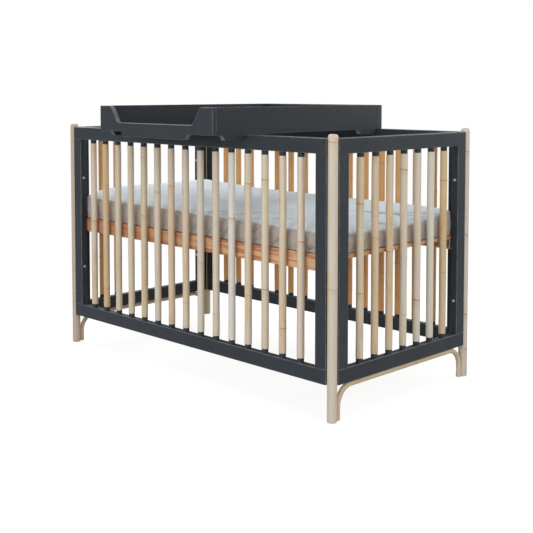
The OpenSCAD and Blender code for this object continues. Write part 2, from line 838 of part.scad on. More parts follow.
cane_bars(RIGHT);  // right_bars
painted_collars(RIGHT);  // right_collars
brace(LEFT);  // left_brace
brace(RIGHT);  // right_brace
brace_screws();
panel_bolts();
post_inserts();
stile_dowels();
height_inserts();
base_front_rail();
base_back_rail();
base_slats();
base_ledgers();
slat_screws();
base_brackets();
bracket_screws();
bracket_bolts();
mattress();
tray_front_board();
tray_back_board();
tray_side_board(-1);  // tray_left_board
tray_side_board(1);  // tray_right_board
tray_floor();
tray_dowels();
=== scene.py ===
import math
import random
import bpy
import bmesh
import numpy as np
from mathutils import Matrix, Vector


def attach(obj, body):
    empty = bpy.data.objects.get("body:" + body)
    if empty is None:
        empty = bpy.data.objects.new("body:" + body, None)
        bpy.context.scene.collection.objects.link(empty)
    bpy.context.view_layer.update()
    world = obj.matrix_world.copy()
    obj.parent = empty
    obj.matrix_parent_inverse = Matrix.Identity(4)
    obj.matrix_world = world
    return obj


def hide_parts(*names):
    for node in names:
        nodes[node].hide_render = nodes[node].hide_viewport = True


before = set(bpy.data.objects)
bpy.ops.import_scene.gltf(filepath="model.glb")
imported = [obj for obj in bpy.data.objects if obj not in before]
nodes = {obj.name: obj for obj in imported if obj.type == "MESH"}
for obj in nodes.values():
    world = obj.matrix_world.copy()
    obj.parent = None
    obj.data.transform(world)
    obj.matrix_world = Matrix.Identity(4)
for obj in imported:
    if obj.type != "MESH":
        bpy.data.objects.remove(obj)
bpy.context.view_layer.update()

scene = bpy.context.scene


# Camera
# A long lens at the height of a person leaning down, off the crib's right front corner, level
# enough that the posts stand upright in the picture.
camera_data = bpy.data.cameras.new("camera")
camera_data.lens = 65.99
camera_data.sensor_width = 36
camera_data.shift_x = 0.0119
camera_data.shift_y = -0.2206
camera = bpy.data.objects.new("camera", camera_data)
camera.location = (2.7444, -2.6984, 1.0598)
looks_down = 3.372
turned = 45.309
camera.rotation_euler = (math.radians(90 - looks_down), 0, math.radians(turned))
scene.collection.objects.link(camera)
scene.camera = camera
scene.view_settings.view_transform = "Standard"


# Studio
# A pale floor that runs out to a white surround, and broad soft lamps all round at about the
# height of a person, so that light also comes in under the changing tray. The floor keeps a
# faint shadow under the crib.
def put(tree, kind, inputs=None, **settings):
    node = tree.nodes.new(kind)
    for name, value in settings.items():
        setattr(node, name, value)
    for name, value in (inputs or {}).items():
        socket = node.inputs[name]
        if isinstance(value, bpy.types.NodeSocket):
            tree.links.new(value, socket)
        else:
            socket.default_value = value
    return node


def maths(tree, operation, a, b=0.0, c=0.0, clamp=False):
    node = put(tree, "ShaderNodeMath", {0: a, 1: b, 2: c}, operation=operation)
    node.use_clamp = clamp
    return node.outputs[0]


def spread(tree, value, low, high, to_low=0.0, to_high=1.0):
    node = put(tree, "ShaderNodeMapRange", {"Value": value, "From Min": low, "From Max": high,
                                            "To Min": to_low, "To Max": to_high})
    node.interpolation_type = "SMOOTHSTEP"
    return node.outputs[0]


def seen_directly(tree):
    path = put(tree, "ShaderNodeLightPath").outputs
    camera_or_gloss = maths(tree, "MAXIMUM", path["Is Camera Ray"], path["Is Glossy Ray"])
    return maths(tree, "MAXIMUM", camera_or_gloss, path["Is Transmission Ray"])


surround = bpy.data.worlds.new("white_surround")
surround.use_nodes = True
tree = surround.node_tree
tree.nodes.clear()
room_light = 0.60
strength = maths(tree, "MULTIPLY_ADD", seen_directly(tree), 1.0 - room_light, room_light)
sky = put(tree, "ShaderNodeBackground", {"Color": (1, 1, 1, 1), "Strength": strength})
put(tree, "ShaderNodeOutputWorld", {"Surface": sky.outputs[0]})
scene.world = surround

floor_mesh = bpy.data.meshes.new("studio_floor")
reach = 14.0
corners = [(-reach, -reach, 0), (reach, -reach, 0), (reach, reach, 0), (-reach, reach, 0)]
floor_mesh.from_pydata(corners, [], [(0, 1, 2, 3)])
floor = bpy.data.objects.new("studio_floor", floor_mesh)
scene.collection.objects.link(floor)
floor_paint = bpy.data.materials.new("studio_floor_white")
floor_paint.use_nodes = True
tree = floor_paint.node_tree
tree.nodes.clear()
seen = seen_directly(tree)
place = put(tree, "ShaderNodeTexCoord").outputs["Object"]
off_centre = put(tree, "ShaderNodeVectorMath", {0: place}, operation="LENGTH").outputs["Value"]
shadow_ends = 1.3
white_from = 2.4
far = spread(tree, off_centre, shadow_ends, white_from)
seen_shade = maths(tree, "MULTIPLY_ADD", far, -0.21, -0.03)
shade = maths(tree, "MULTIPLY_ADD", seen_shade, seen, 0.24)
shade_colour = put(tree, "ShaderNodeCombineColor", {0: shade, 1: shade, 2: shade})
matt = put(tree, "ShaderNodeBsdfDiffuse", {"Color": shade_colour.outputs[0]})
seen_glow = maths(tree, "MULTIPLY", seen, maths(tree, "MULTIPLY_ADD", far, 0.15, 0.85))
glow = put(tree, "ShaderNodeEmission", {"Color": (1, 1, 1, 1), "Strength": seen_glow})
both = put(tree, "ShaderNodeAddShader", {0: matt.outputs[0], 1: glow.outputs[0]})
put(tree, "ShaderNodeOutputMaterial", {"Surface": both.outputs[0]})
floor_mesh.materials.append(floor_paint)

# Each lamp's place, the point that it is aimed at, its width, height, power and colour
white = (1.0, 1.0, 1.0)
warm_white = (1.0, 0.985, 0.965)
lamps = {
    "front_lamp": ((0.9, -5.0, 1.3), (0, 0, 0.5), 4.4, 2.0, 100, white),
    "right_lamp": ((4.8, -1.6, 2.0), (0, 0, 0.5), 3.4, 2.8, 70, warm_white),
    "back_lamp": ((0.4, 4.8, 2.2), (0, 0, 0.6), 5.0, 2.6, 165, white),
    "left_lamp": ((-4.2, 0.8, 3.0), (-0.3, 0, 0.6), 4.0, 2.4, 160, white),
    "top_lamp": ((0.2, -0.4, 4.2), (0, 0, 0.4), 3.6, 3.0, 16, white),
}
for name, (place, aim, wide, high, power, colour) in lamps.items():
    lamp = bpy.data.lights.new(name, "AREA")
    lamp.shape = "RECTANGLE"
    lamp.size = wide
    lamp.size_y = high
    lamp.energy = power
    lamp.color = colour
    holder = bpy.data.objects.new(name, lamp)
    holder.location = place
    holder.rotation_euler = (Vector(aim) - Vector(place)).to_track_quat("-Z", "Y").to_euler()
    scene.collection.objects.link(holder)


# Cane rods
# Natural cane, peeled and lacquered: fibres along the rod, a raised ring with a darker scar at
# each knot and a tone of its own for each rod. The flanks turned away from the crib's right
# front corner are painted amber as shade, which leaves the side towards that corner paler as a
# painted highlight. One tree of Geometry Nodes grows every rod from its centre line.
def bell(tree, distance, width):
    ratio = maths(tree, "DIVIDE", distance, width)
    squared = maths(tree, "MULTIPLY", ratio, ratio)
    return maths(tree, "EXPONENT", maths(tree, "MULTIPLY", squared, -1.0))


def rod_tree():
    tree = bpy.data.node_groups.new("cane_rods", "GeometryNodeTree")
    sizes = (("Centre lines", "Geometry", None), ("Sides", "Int", 24),
             ("Knot swell", "Float", 0.0004), ("Knot reach", "Float", 0.008),
             ("Scar depth", "Float", 0.00025),
             ("Scar width", "Float", 0.0011), ("Sway", "Float", 0.001), ("Seed", "Float", 3.0),
             ("Cane", "Material", None))
    for name, kind, value in sizes:
        socket = tree.interface.new_socket(name, in_out="INPUT", socket_type="NodeSocket" + kind)
        if value is not None:
            socket.default_value = value
    tree.interface.new_socket("Rods", in_out="OUTPUT", socket_type="NodeSocketGeometry")
    given = put(tree, "NodeGroupInput").outputs
    girth, to_knot, ring, loose = [
        put(tree, "GeometryNodeInputNamedAttribute", {"Name": name}, data_type="FLOAT").outputs[0]
        for name in ("girth", "to_knot", "ring", "loose")]
    lines = put(tree, "GeometryNodeMeshToCurve", {"Mesh": given["Centre lines"]})
    place = put(tree, "GeometryNodeInputPosition")
    drift = put(tree, "ShaderNodeTexNoise", {"Vector": place.outputs[0], "W": given["Seed"],
                                             "Scale": 2.2, "Detail": 1.0}, noise_dimensions="4D")
    centred = put(tree, "ShaderNodeVectorMath", {0: drift.outputs["Color"], 1: (0.5, 0.5, 0.5)},
                  operation="SUBTRACT")
    both_ways = maths(tree, "MULTIPLY", given["Sway"], 2.0)
    sway = put(tree, "ShaderNodeVectorMath",
               {0: centred.outputs[0], "Scale": maths(tree, "MULTIPLY", both_ways, loose)},
               operation="SCALE")
    bowed = put(tree, "GeometryNodeSetPosition",
                {"Geometry": lines.outputs[0], "Offset": sway.outputs[0]})
    swell = maths(tree, "MULTIPLY", bell(tree, to_knot, given["Knot reach"]), given["Knot swell"])
    scar = maths(tree, "MULTIPLY", bell(tree, to_knot, given["Scar width"]), given["Scar depth"])
    relief = maths(tree, "MULTIPLY", maths(tree, "SUBTRACT", swell, scar),
                   maths(tree, "MULTIPLY", loose, ring))
    outline = put(tree, "GeometryNodeCurvePrimitiveCircle",
                  {"Resolution": given["Sides"], "Radius": 1.0})
    turn = put(tree, "GeometryNodeStoreNamedAttribute",
               {"Geometry": outline.outputs[0], "Name": "turn", "Value": place.outputs[0]},
               data_type="FLOAT_VECTOR")
    skin = put(tree, "GeometryNodeCurveToMesh",
               {"Curve": bowed.outputs[0], "Profile Curve": turn.outputs[0],
                "Scale": maths(tree, "ADD", girth, relief), "Fill Caps": True})
    smooth = put(tree, "GeometryNodeSetShadeSmooth", {"Geometry": skin.outputs[0]})
    real = put(tree, "GeometryNodeRealizeInstances", {"Geometry": smooth.outputs[0]})
    dressed = put(tree, "GeometryNodeSetMaterial",
                  {"Geometry": real.outputs[0], "Material": given["Cane"]})
    put(tree, "NodeGroupOutput", {"Rods": dressed.outputs[0]})
    return tree


cane_rods = rod_tree()


def baked(piece, tree, values):
    modifier = piece.modifiers.new("made", "NODES")
    modifier.node_group = tree
    for item in tree.interface.items_tree:
        if item.item_type == "SOCKET" and item.in_out == "INPUT" and item.name in values:
            modifier[item.identifier] = values[item.name]
    graph = bpy.context.evaluated_depsgraph_get()
    mesh = bpy.data.meshes.new_from_object(
        piece.evaluated_get(graph), preserve_all_data_layers=True, depsgraph=graph)
    piece.modifiers.remove(modifier)
    piece.data = mesh
    mesh.name = piece.name
    return piece


# A rod is (points, girths, knots, tone, blush): its centre line, the radius at each point, its
# knots, how warm its colour is, where -1 is bleached, and how rosy, where -1 is greenish yellow. A
# knot is (distance along the rod, strength of its ring, strength of the bud's scar beside it). Both
# ends are held straight and true to size, and over the next stretch the rod eases into its bow.
held_end = 0.034
easing = 0.05


def grow_rods(name, rods, material, **values):
    verts, edges = [], []
    girth, to_knot, ring, bud, loose, along, tone, blush = [], [], [], [], [], [], [], []
    for points, girths, knots, warmth, rosiness in rods:
        total = sum(math.dist(a, b) for a, b in zip(points, points[1:]))
        run = 0.0
        for i, point in enumerate(points):
            if i:
                run += math.dist(points[i - 1], point)
                edges.append((len(verts) - 1, len(verts)))
            verts.append(point)
            girth.append(girths[i])
            nearest = min(knots, key=lambda knot: abs(run - knot[0]))
            to_knot.append(run - nearest[0])
            ring.append(nearest[1])
            bud.append(nearest[2])
            loose.append(max(0.0, min(1.0, (min(run, total - run) - held_end) / easing)))
            along.append(run)
            tone.append(warmth)
            blush.append(rosiness)
    mesh = bpy.data.meshes.new(name)
    mesh.from_pydata(verts, edges, [])
    for label, values_at in (("girth", girth), ("to_knot", to_knot), ("ring", ring), ("bud", bud),
                             ("loose", loose), ("along", along), ("tone", tone), ("blush", blush)):
        mesh.attributes.new(label, "FLOAT", "POINT").data.foreach_set("value", values_at)
    piece = bpy.data.objects.new(name, mesh)
    scene.collection.objects.link(piece)
    return baked(piece, cane_rods, {"Cane": material, **values})


def knots_along(length, first, gaps):
    marks, at = [], first
    while at < length:
        marks.append((at, gaps.uniform(0.3, 0.9), gaps.choice((0.0, 0.0, 0.7))))
        at += gaps.uniform(0.30, 0.50)
    return marks


# Distances along a rod: every 14 mm, and closer at each knot
station_gap = 0.014
closest = 0.0009
round_a_knot = (-0.010, -0.0066, -0.0042, -0.0024, -0.0012, 0,
                0.0012, 0.0024, 0.0042, 0.0066, 0.010)


def thinned(marks):
    kept = []
    for mark in sorted(marks):
        if not kept or mark - kept[-1] > closest:
            kept.append(mark)
    return kept


def stations(start, end, knots):
    marks = list(np.linspace(start, end, int((end - start) / station_gap) + 2))
    for knot, ring, bud in knots:
        marks += [knot + d for d in round_a_knot]
    return thinned(m for m in marks if start <= m <= end)


def group(name, inputs, outputs):
    tree = bpy.data.node_groups.new(name, "ShaderNodeTree")
    for label, kind, value in inputs:
        socket = tree.interface.new_socket(label, in_out="INPUT", socket_type="NodeSocket" + kind)
        socket.default_value = value
    for label, kind in outputs:
        tree.interface.new_socket(label, in_out="OUTPUT", socket_type="NodeSocket" + kind)
    return tree, put(tree, "NodeGroupInput").outputs


def mixed(tree, mask, a, b, kind="MIX"):
    node = put(tree, "ShaderNodeMix", {0: mask, 6: a, 7: b}, data_type="RGBA", blend_type=kind)
    return node.outputs[2]


def noise(tree, vector, scale, detail=2.0, rough=0.5):
    return put(tree, "ShaderNodeTexNoise", {"Vector": vector, "Scale": scale, "Detail": detail,
                                            "Roughness": rough}).outputs[0]


def cane_skin():
    tree, given = group(
        "cane_skin",
        (("Pale", "Color", (0.6, 0.5, 0.36, 1)), ("Warm", "Color", (0.5, 0.36, 0.2, 1)),
         ("Bleached", "Color", (0.7, 0.7, 0.6, 1)), ("Amber", "Color", (0.5, 0.3, 0.12, 1)),
         ("Scar", "Color", (0.3, 0.15, 0.06, 1)), ("Fibres per metre", "Float", 700.0)),
        (("Color", "Color"), ("Roughness", "Float"), ("Height", "Float")))
    mark = {name: put(tree, "ShaderNodeAttribute", attribute_name=name).outputs
            for name in ("turn", "girth", "to_knot", "ring", "bud", "along", "tone", "blush")}
    round_it = put(tree, "ShaderNodeVectorMath",
                   {0: mark["turn"]["Vector"], "Scale": mark["girth"]["Fac"]}, operation="SCALE")
    sides = put(tree, "ShaderNodeSeparateXYZ", {0: round_it.outputs[0]}).outputs
    along = mark["along"]["Fac"]
    tone = mark["tone"]["Fac"]

    def lengthways(across, run, offset):
        vector = put(tree, "ShaderNodeCombineXYZ",
                     {0: maths(tree, "MULTIPLY", sides[0], across),
                      1: maths(tree, "MULTIPLY", sides[1], across),
                      2: maths(tree, "MULTIPLY_ADD", tone, 37.0,
                               maths(tree, "MULTIPLY_ADD", along, run, offset))})
        return vector.outputs[0]

    fibres = noise(tree, lengthways(given["Fibres per metre"], 9.0, 0.0), 1.0, 3.0, 0.6)
    bands = noise(tree, lengthways(80.0, 2.0, 11.0), 1.0, 2.0)
    stains = noise(tree, lengthways(75.0, 7.0, 23.0), 1.0, 3.0, 0.6)
    specks = noise(tree, lengthways(420.0, 160.0, 31.0), 1.0, 2.0)
    warmth = maths(tree, "MULTIPLY_ADD", spread(tree, bands, 0.36, 0.66), 0.44,
                   maths(tree, "MULTIPLY_ADD", tone, 0.85, -0.16), clamp=True)
    body = mixed(tree, warmth, given["Pale"], given["Warm"])
    body = mixed(tree, spread(tree, tone, -0.7, -0.2, 1.0, 0.0), body, given["Bleached"])
    blush = mark["blush"]["Fac"]
    rosy = mixed(tree, maths(tree, "MULTIPLY", blush, 1.0, clamp=True), body,
                 (1.01, 0.972, 0.968, 1), "MULTIPLY")
    golden = mixed(tree, maths(tree, "MULTIPLY", blush, -1.0, clamp=True), rosy,
                   (0.97, 0.97, 0.84, 1), "MULTIPLY")
    # Painted shade: flanks turned away from the crib's right front corner are tinted amber, and the
    # side towards that corner stays paler as a painted highlight
    facing = put(tree, "ShaderNodeVectorMath",
                 {0: put(tree, "ShaderNodeTexCoord").outputs["Normal"], 1: (0.7071, -0.7071, 0.0)},
                 operation="DOT_PRODUCT").outputs["Value"]
    amber_shade_mask = maths(tree, "MULTIPLY", spread(tree, facing, 0.86, 0.30),
                  spread(tree, bands, 0.34, 0.66, 0.34, 0.70))
    amber_shade_mask = maths(tree, "MULTIPLY", amber_shade_mask, spread(tree, tone, -0.9, 0.3, 0.2, 1.0))
    amber_shaded = mixed(tree, amber_shade_mask, golden, given["Amber"])
    streaked = mixed(tree, spread(tree, fibres, 0.42, 0.74, 0.0, 0.08), amber_shaded, given["Amber"])
    ripe = maths(tree, "MULTIPLY", spread(tree, stains, 0.50, 0.66),
                 spread(tree, tone, -0.3, 0.9, 0.10, 0.80))
    patched = mixed(tree, ripe, streaked, given["Amber"])
    tilt = maths(tree, "MULTIPLY_ADD", sides[0], 0.14, mark["to_knot"]["Fac"])
    ragged = maths(tree, "MULTIPLY_ADD", maths(tree, "SUBTRACT", specks, 0.5), 0.0018, tilt)
    below = maths(tree, "ADD", tilt, 0.008)
    gaps = noise(tree, lengthways(60.0, 2.0, 47.0), 1.0, 1.0)
    part_round = spread(tree, gaps, 0.36, 0.60, 0.55, 1.0)
    strength = maths(tree, "MULTIPLY", mark["ring"]["Fac"], part_round)
    ring = maths(tree, "MULTIPLY", bell(tree, ragged, 0.0017), strength)
    halo = maths(tree, "MULTIPLY", bell(tree, below, 0.013),
                 maths(tree, "MULTIPLY", strength, 0.32))
    warmed = mixed(tree, halo, patched, given["Amber"])
    bud_place = put(tree, "ShaderNodeVectorMath",
                    {0: (0.75, 0.66, 0.0), "Scale": mark["girth"]["Fac"]},
                    operation="SCALE").outputs[0]
    squeezed = maths(tree, "MULTIPLY", mark["to_knot"]["Fac"], 0.6)
    here = put(tree, "ShaderNodeCombineXYZ", {0: sides[0], 1: sides[1], 2: squeezed})
    to_bud = put(tree, "ShaderNodeVectorMath", {0: here.outputs[0], 1: bud_place},
                 operation="DISTANCE")
    bud = maths(tree, "MULTIPLY", bell(tree, to_bud.outputs["Value"], 0.0026), mark["bud"]["Fac"])
    scarred = mixed(tree, maths(tree, "MAXIMUM", ring, bud), warmed, given["Scar"])
    flecked = mixed(tree, spread(tree, specks, 0.74, 0.86, 0.0, 0.4), scarred, given["Scar"])
    rough = maths(tree, "MULTIPLY_ADD", fibres, 0.16, 0.36)
    height = maths(tree, "SUBTRACT", maths(tree, "MULTIPLY", fibres, 0.5), ring)
    put(tree, "NodeGroupOutput", {"Color": flecked, "Roughness": rough, "Height": height})
    return tree


cane_skin_group = cane_skin()


def material(name, **settings):
    made = bpy.data.materials.new(name)
    made.use_nodes = True
    tree = made.node_tree
    tree.nodes.clear()
    shader = put(tree, "ShaderNodeBsdfPrincipled", settings)
    put(tree, "ShaderNodeOutputMaterial", {"Surface": shader.outputs[0]})
    return made, tree, shader


def finish_with(tree, shader, pattern, bump, reach=0.0006):
    tree.links.new(pattern.outputs["Color"], shader.inputs["Base Color"])
    tree.links.new(pattern.outputs["Roughness"], shader.inputs["Roughness"])
    relief = put(tree, "ShaderNodeBump", {"Height": pattern.outputs["Height"], "Strength": bump,
                                          "Distance": reach})
    tree.links.new(relief.outputs[0], shader.inputs["Normal"])


bleached_cane = (0.67, 0.66, 0.61, 1)
amber_cane = (0.58, 0.375, 0.160, 1)
knot_scar = (0.45, 0.175, 0.048, 1)


def cane_material(name, pale, warm, fibres):
    made, tree, shader = material(name, **{"Specular IOR Level": 0.3})
    pattern = put(tree, "ShaderNodeGroup",
                  {"Pale": (*pale, 1), "Warm": (*warm, 1), "Bleached": bleached_cane,
                   "Amber": amber_cane, "Scar": knot_scar, "Fibres per metre": fibres},
                  node_tree=cane_skin_group)
    finish_with(tree, shader, pattern, 0.35)
    return made


# Corner posts
# Four stout canes, sawn square at the foot, with a turned shoulder at the top. They stand in the
# hollowed ends of the panels, which bolt to them from both sides.
post_x = 0.718
post_y = 0.370
post_r = 0.0167
post_top = 0.925
shoulder_w = 0.0075
shoulder_h = 0.0125
post_cane = cane_material("post_cane", (0.60, 0.555, 0.48), (0.57, 0.475, 0.34), 620.0)
aged_cane = cane_material("aged_post_cane", (0.50, 0.45, 0.385), (0.48, 0.405, 0.315), 620.0)
post_knots = {"left_front": ((0.21, 0.6, 0), (0.55, 0.7, 0), (0.86, 0.5, 0)),
              "right_front": ((0.431, 0.7, 0), (0.901, 0.9, 0)),
              "left_back": ((0.14, 0.6, 0), (0.47, 0.8, 0), (0.80, 0.6, 0)),
              "right_back": ((0.105, 0.6, 0), (0.236, 0.9, 0), (0.532, 0.9, 0), (0.841, 0.8, 0))}
post_tones = {"left_front": (0.5, 0.3), "right_front": (0.1, 0.0), "left_back": (0.7, 0.0),
              "right_back": (-0.2, 0.0)}
foot = [(0.0, 0.0005), (0.00002, post_r - 0.0032), (0.0003, post_r - 0.0016),
        (0.0012, post_r - 0.0006)]
turning = [math.radians(15 * i) for i in range(7)]
shoulder = [(post_top - shoulder_h * (1 - math.sin(angle)),
             post_r - shoulder_w * (1 - math.cos(angle))) for angle in turning]
shoulder += [(post_top + 0.00002, post_r - shoulder_w - 0.0012), (post_top + 0.00004, 0.0005)]
for corner, knots in post_knots.items():
    sx = 1 if "right" in corner else -1
    sy = 1 if "back" in corner else -1
    heights = stations(0.004, post_top - shoulder_h - 0.003, knots)
    profile = foot + [(z, post_r - 0.0002) for z in heights] + shoulder
    points = [(sx * post_x, sy * post_y, z) for z, r in profile]
    post = grow_rods("cane_post_" + corner,
                     [(points, [r for z, r in profile], knots, *post_tones[corner])],
                     aged_cane if corner == "left_front" else post_cane,
                     **{"Sides": 40, "Knot swell": 0.0002, "Sway": 0.0, "Scar depth": 0.0003})
    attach(post, "frame")
    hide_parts("post_" + corner)


# Cane bars
# Thinner canes with a turned tenon at both ends, which passes through a painted collar into a
# drilled hole of the rail. Fifteen stand in each long panel and seven in each end panel.
bar_r = 0.0128
tenon_r = 0.0075
bar_low = 0.183
bar_high = 0.847
tenon_out = 0.030
bar_length = 0.72
panel_mid_y = 0.370
panel_mid_x = 0.718
long_pitch = 0.0829
end_pitch = 0.0781
bar_cane = cane_material("bar_cane", (0.64, 0.595, 0.51), (0.62, 0.45, 0.275), 760.0)
# Painted shade: a darker, more orange copy of the cane for the back and left bars, seen in shade
shade_copy_cane = cane_material("bar_cane_painted_shade", (0.73, 0.410, 0.178), (0.70, 0.355, 0.138), 760.0)
lengths = random.Random(23)

# Knots of the bars in the front panel, from left to right, and in the right panel, from front to
# back. Those of the other two panels are drawn from the seed.
front_knots = [
    [(0.377, 0.8, 0)],
    [(0.110, 0.5, 0), (0.495, 0.3, 0), (0.528, 0.5, 0)],
    [(0.250, 0.3, 0)],
    [(0.627, 0.2, 0.6)],
    [(0.177, 0.5, 0), (0.427, 0.9, 0), (0.653, 0.5, 0)],
    [(0.110, 0.6, 0), (0.526, 0.8, 0)],
    [(0.046, 0.5, 0), (0.397, 0.2, 0.9), (0.554, 0.8, 0)],
    [(0.127, 0.4, 0)],
    [(0.287, 0.3, 0)],
    [(0.108, 0.4, 0), (0.443, 0.2, 0.8)],
    [(0.097, 0.2, 0.8), (0.463, 1.0, 0)],
    [(0.204, 0.7, 0), (0.592, 0.9, 0)],
    [(0.235, 0.9, 0), (0.610, 0.9, 0)],
    [(0.116, 1.0, 0), (0.546, 0.2, 0.6), (0.637, 0.1, 0.6)],
    [(0.417, 1.0, 0), (0.489, 0.2, 1.0), (0.637, 0.1, 1.0)],
]
right_knots = [
    [(0.247, 0.8, 0), (0.543, 1.0, 0)],
    [(0.138, 0.3, 0), (0.422, 0.9, 0), (0.694, 0.8, 0)],
    [(0.367, 1.0, 0)],
    [(0.140, 0.4, 0), (0.641, 1.0, 0)],
    [(0.179, 1.0, 0.8)],
    [(0.632, 0.2, 0.9)],
    [(0.256, 0.5, 0), (0.588, 1.0, 0)],
]


def bar_profile(knots):
    low = [(bar_low - tenon_out, 0.0004), (bar_low - tenon_out + 0.00003, tenon_r - 0.0008),
           (bar_low - tenon_out + 0.0008, tenon_r), (bar_low - 0.0002, tenon_r),
           (bar_low, tenon_r + 0.0002), (bar_low + 0.00003, bar_r - 0.0010),
           (bar_low + 0.0003, bar_r - 0.0004), (bar_low + 0.0010, bar_r)]
    high = [(bar_low + bar_high - z, r) for z, r in reversed(low)]
    marks = [(bar_low - tenon_out + at, ring, bud) for at, ring, bud in knots]
    return low + [(z, bar_r) for z in stations(bar_low + 0.003, bar_high - 0.003, marks)] + high


def bar_row(name, count, pitch, side, tones, blushes, seen_knots=None):
    rods = []
    for i in range(count):
        if seen_knots:
            knots = seen_knots[i]
        else:
            knots = knots_along(bar_length, lengths.uniform(0.06, 0.38), lengths)
        profile = bar_profile(knots)
        step = (i - (count - 1) / 2) * pitch
        x, y = {"front": (step, -panel_mid_y), "back": (step, panel_mid_y),
                "left": (-panel_mid_x, step), "right": (panel_mid_x, step)}[side]
        rods.append(([(x, y, z) for z, r in profile], [r for z, r in profile], knots,
                     tones[i], blushes[i]))
    # The back and left rows take the darker cane as painted shade
    cane = bar_cane if side in ("front", "right") else shade_copy_cane
    row = grow_rods(name, rods, cane, **{"Knot swell": 0.0005, "Sway": 0.0012, "Seed": 2.0 + count})
    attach(row, "frame")
    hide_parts(side + "_bars")


bar_row("cane_bars_front", 15, long_pitch, "front",
        [0.32, 1.0, 0.41, 0.12, 0.45, 0.10, 0.38, 0.30, 0.0, 0.12, -1.0, 0.42, 0.12, 0.45, 0.18],
        [0.6, -0.2, 0.0, -0.2, -0.6, 0.1, 0.6, 0.1, 0.0, 0.4, -0.1, 0.1, -0.3, 0.2, 0.4],
        front_knots)
bar_row("cane_bars_back", 15, long_pitch, "back",
        [0.9, 0.4, 0.7, 0.5, 1.0, 0.3, 0.8, 0.4, 0.6, 1.0, 0.5, 0.8, 0.4, 0.9, 0.7],
        [0.3, -0.6, 0.0, -0.3, 0.4, -0.5, 0.2, -0.7, 0.0, 0.3, -0.4, 0.2, -0.6, 0.0, -0.5])
bar_row("cane_bars_left", 7, end_pitch, "left", [0.5, 0.8, 1.0, 0.4, 0.9, 0.5, 0.8],
        [0.2, -0.4, 0.0, 0.4, -0.3, 0.1, -0.2])
bar_row("cane_bars_right", 7, end_pitch, "right", [0.34, 0.70, 0.62, 0.05, 0.00, -0.62, 0.75],
        [-0.5, 0.4, 0.0, -0.2, 0.4, -0.5, -0.9], right_knots)


# Bent braces
# A steamed cane under each end panel: two legs beside the posts, two bends and a run along the
# rail's underside, screwed up into the rail and out into the posts.
brace_r = 0.0092
leg_y = 0.34395
bend_r = 0.066
run_z = 0.10865
run_half = leg_y - bend_r
floor_gap = 0.001
leg = run_z - bend_r
bend = math.pi * bend_r / 2
total = 2 * (leg - floor_gap) + 2 * bend + 2 * run_half
brace_cane = cane_material("brace_cane", (0.63, 0.57, 0.45), (0.57, 0.44, 0.28), 760.0)
brace_knots = {"left": [(0.09, 0.7, 0), (0.36, 0.7, 0), (0.62, 0.7, 0)],
               "right": [(0.183, 0.8, 0), (0.493, 0.9, 0), (0.754, 0.8, 0)]}
brace_rim = [(0.0, 0.0004), (0.00003, brace_r - 0.0010), (0.0003, brace_r - 0.0004),
             (0.0009, brace_r)]
for side, x in (("left", -post_x), ("right", post_x)):
    knots = brace_knots[side]
    points, girths = [], []
    round_bend = np.linspace(leg - floor_gap, leg - floor_gap + bend, 16)
    marks = stations(0.0016, total - 0.0016, knots) + list(round_bend)
    marks += [total - m for m in round_bend]
    along_it = brace_rim + [(m, brace_r) for m in thinned(marks)]
    along_it += [(total - m, r) for m, r in reversed(brace_rim)]
    for m, r in along_it:
        near = min(m, total - m)
        if near < leg - floor_gap:
            y, z = leg_y, floor_gap + near
        elif near < leg - floor_gap + bend:
            angle = (near - leg + floor_gap) / bend_r
            y, z = run_half + bend_r * math.cos(angle), leg + bend_r * math.sin(angle)
        else:
            y, z = run_half - (near - leg + floor_gap - bend), run_z
        points.append((x, -y if m < total / 2 else y, z))
        girths.append(r)
    brace = grow_rods("bent_brace_" + side, [(points, girths, knots, 0.5, 0.2)], brace_cane,
                      **{"Knot swell": 0.0, "Sway": 0.0, "Sides": 28, "Scar depth": 0.0004})
    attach(brace, "frame")
    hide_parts(side + "_brace")


# Painted panels
# Rails and stiles of solid wood under a satin anthracite paint, with rounded edges, dowelled
# together. The collars round the tenons are turned from the same wood and painted alike. The
# rounded edges are coloured paler, partly as rubbed paint and partly as a painted highlight.
def rounded_edge_mask():
    tree, given = group("rounded_edge_mask", (("Reach", "Float", 0.003),), (("Mask", "Float"),))
    rounded = put(tree, "ShaderNodeBevel", {"Radius": given["Reach"]}, samples=4)
    sides = put(tree, "ShaderNodeSeparateXYZ", {0: rounded.outputs[0]}).outputs
    facing = [maths(tree, "ABSOLUTE", side) for side in sides]
    squarest = maths(tree, "MAXIMUM", maths(tree, "MAXIMUM", facing[0], facing[1]), facing[2])
    put(tree, "NodeGroupOutput", {"Mask": spread(tree, squarest, 0.97, 0.78)})
    return tree


rounded_edge_group = rounded_edge_mask()


